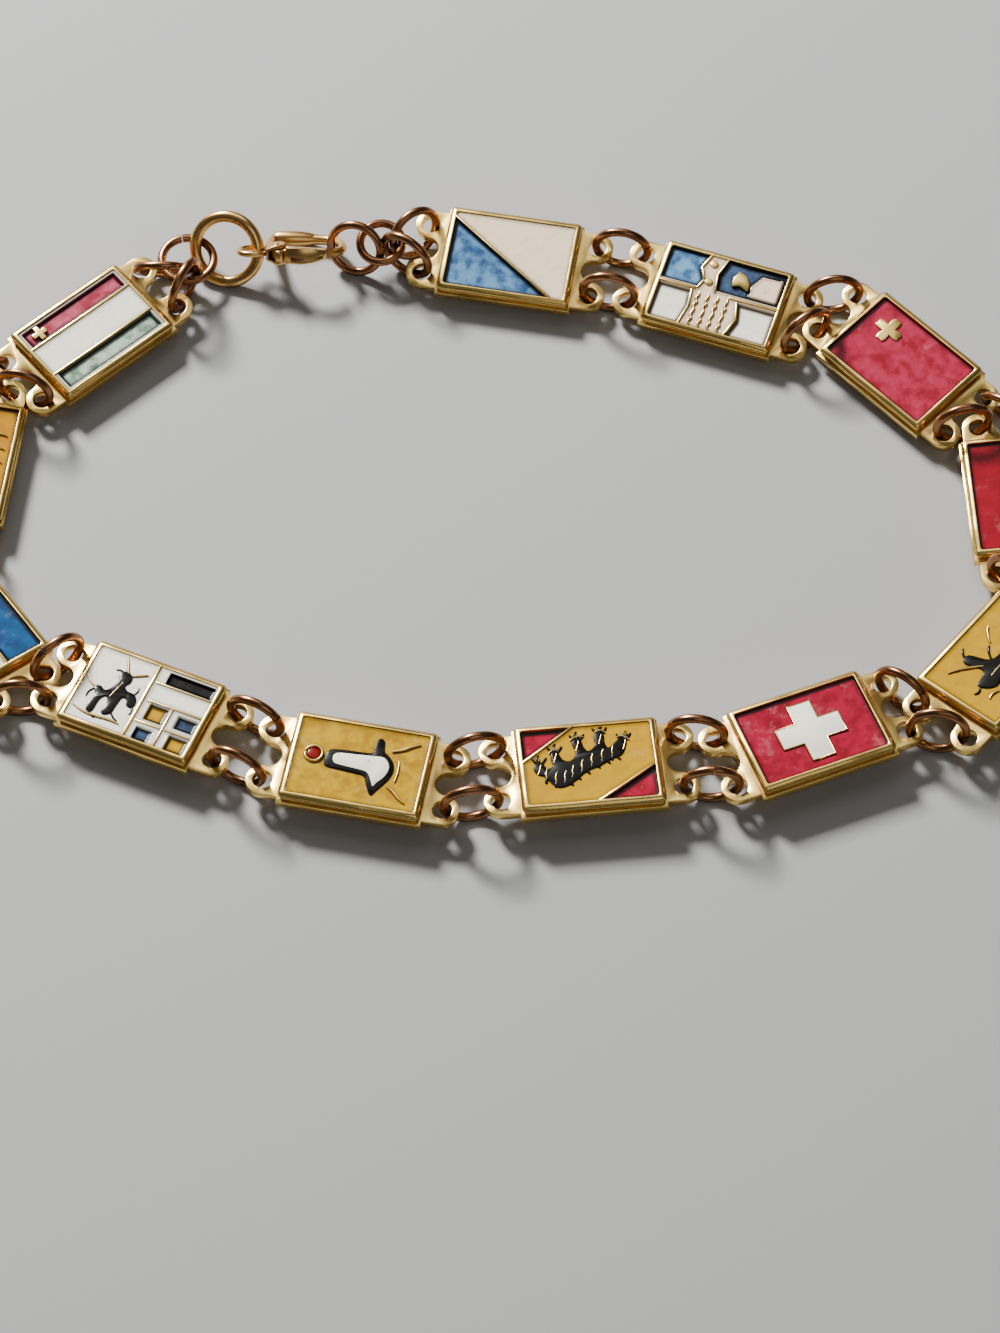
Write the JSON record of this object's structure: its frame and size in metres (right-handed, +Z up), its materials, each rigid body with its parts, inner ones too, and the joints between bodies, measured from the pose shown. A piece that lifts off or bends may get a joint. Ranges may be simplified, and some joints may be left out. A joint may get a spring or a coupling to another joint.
{
  "type": "linked plaque bracelet",
  "caption": "Closed bracelet of rectangular enamelled metal plaques with pierced ears, joined by pairs of jump rings, with a sprung lever clasp and a large end ring.",
  "frame": {"origin": "under the middle of the bracelet's box, on the surface that it lies on", "axes": "+X along the long way of the loop, +Y from the plaques opposite the clasp towards the clasp, +Z up from the surface"},
  "size_m": [0.082, 0.0502, 0.0043],
  "materials": {
    "gilt_metal": "pale worn gilt, brown in the grooves",
    "bronze_metal": "rose brown tarnished gilt",
    "enamel_a": "glossy enamel with gilt lines",
    "enamel_b": "glossy enamel with gilt lines",
    "enamel_c": "glossy enamel with gilt lines",
    "enamel_d": "glossy enamel with gilt lines",
    "enamel_e": "glossy enamel with gilt lines",
    "enamel_f": "glossy enamel with gilt lines",
    "enamel_g": "glossy enamel with gilt lines",
    "enamel_h": "glossy enamel with gilt lines",
    "enamel_i": "glossy enamel with gilt lines",
    "enamel_j": "glossy enamel with gilt lines",
    "enamel_k": "glossy enamel with gilt lines",
    "enamel_l": "glossy enamel with gilt lines"
  },
  "bodies": {
    "bracelet": {"plaque_a": "gilt_metal", "plaque_b": "gilt_metal", "plaque_c": "gilt_metal", "plaque_d": "gilt_metal", "plaque_e": "gilt_metal", "plaque_f": "gilt_metal", "plaque_g": "gilt_metal", "plaque_h": "gilt_metal", "plaque_i": "gilt_metal", "plaque_j": "gilt_metal", "plaque_k": "gilt_metal", "plaque_l": "gilt_metal", "enamel_a": "enamel_a", "enamel_b": "enamel_b", "enamel_c": "enamel_c", "enamel_d": "enamel_d", "enamel_e": "enamel_e", "enamel_f": "enamel_f", "enamel_g": "enamel_g", "enamel_h": "enamel_h", "enamel_i": "enamel_i", "enamel_j": "enamel_j", "enamel_k": "enamel_k", "enamel_l": "enamel_l", "ring_ab_outer": "bronze_metal", "ring_ab_inner": "bronze_metal", "ring_bc_outer": "bronze_metal", "ring_bc_inner": "bronze_metal", "ring_cd_outer": "bronze_metal", "ring_cd_inner": "bronze_metal", "ring_de_outer": "bronze_metal", "ring_de_inner": "bronze_metal", "ring_ef_outer": "bronze_metal", "ring_ef_inner": "bronze_metal", "ring_fg_outer": "bronze_metal", "ring_fg_inner": "bronze_metal", "ring_gh_outer": "bronze_metal", "ring_gh_inner": "bronze_metal", "ring_hi_outer": "bronze_metal", "ring_hi_inner": "bronze_metal", "ring_ij_outer": "bronze_metal", "ring_ij_inner": "bronze_metal", "ring_jk_outer": "bronze_metal", "ring_jk_inner": "bronze_metal", "ring_kl_outer": "bronze_metal", "ring_kl_inner": "bronze_metal", "end_ring_l_upper": "bronze_metal", "end_ring_l_lower": "bronze_metal", "join_ring_l": "bronze_metal", "large_ring": "bronze_metal", "clasp_ring": "bronze_metal", "join_ring_a": "bronze_metal", "end_ring_a_upper": "bronze_metal", "end_ring_a_lower": "bronze_metal", "clasp_body": "bronze_metal"},
    "lever": {"clasp_lever": "bronze_metal"}
  },
  "joints": [
    {"name": "lever_hinge", "type": "hinge", "parent": "bracelet", "child": "lever", "pos_m": [-0.01484, 0.02066, 0.00253], "axis": [0, 0.5878, 0.809], "range_deg": [0, 25], "stiffness_Nm_per_rad": 0.0001}
  ]
}
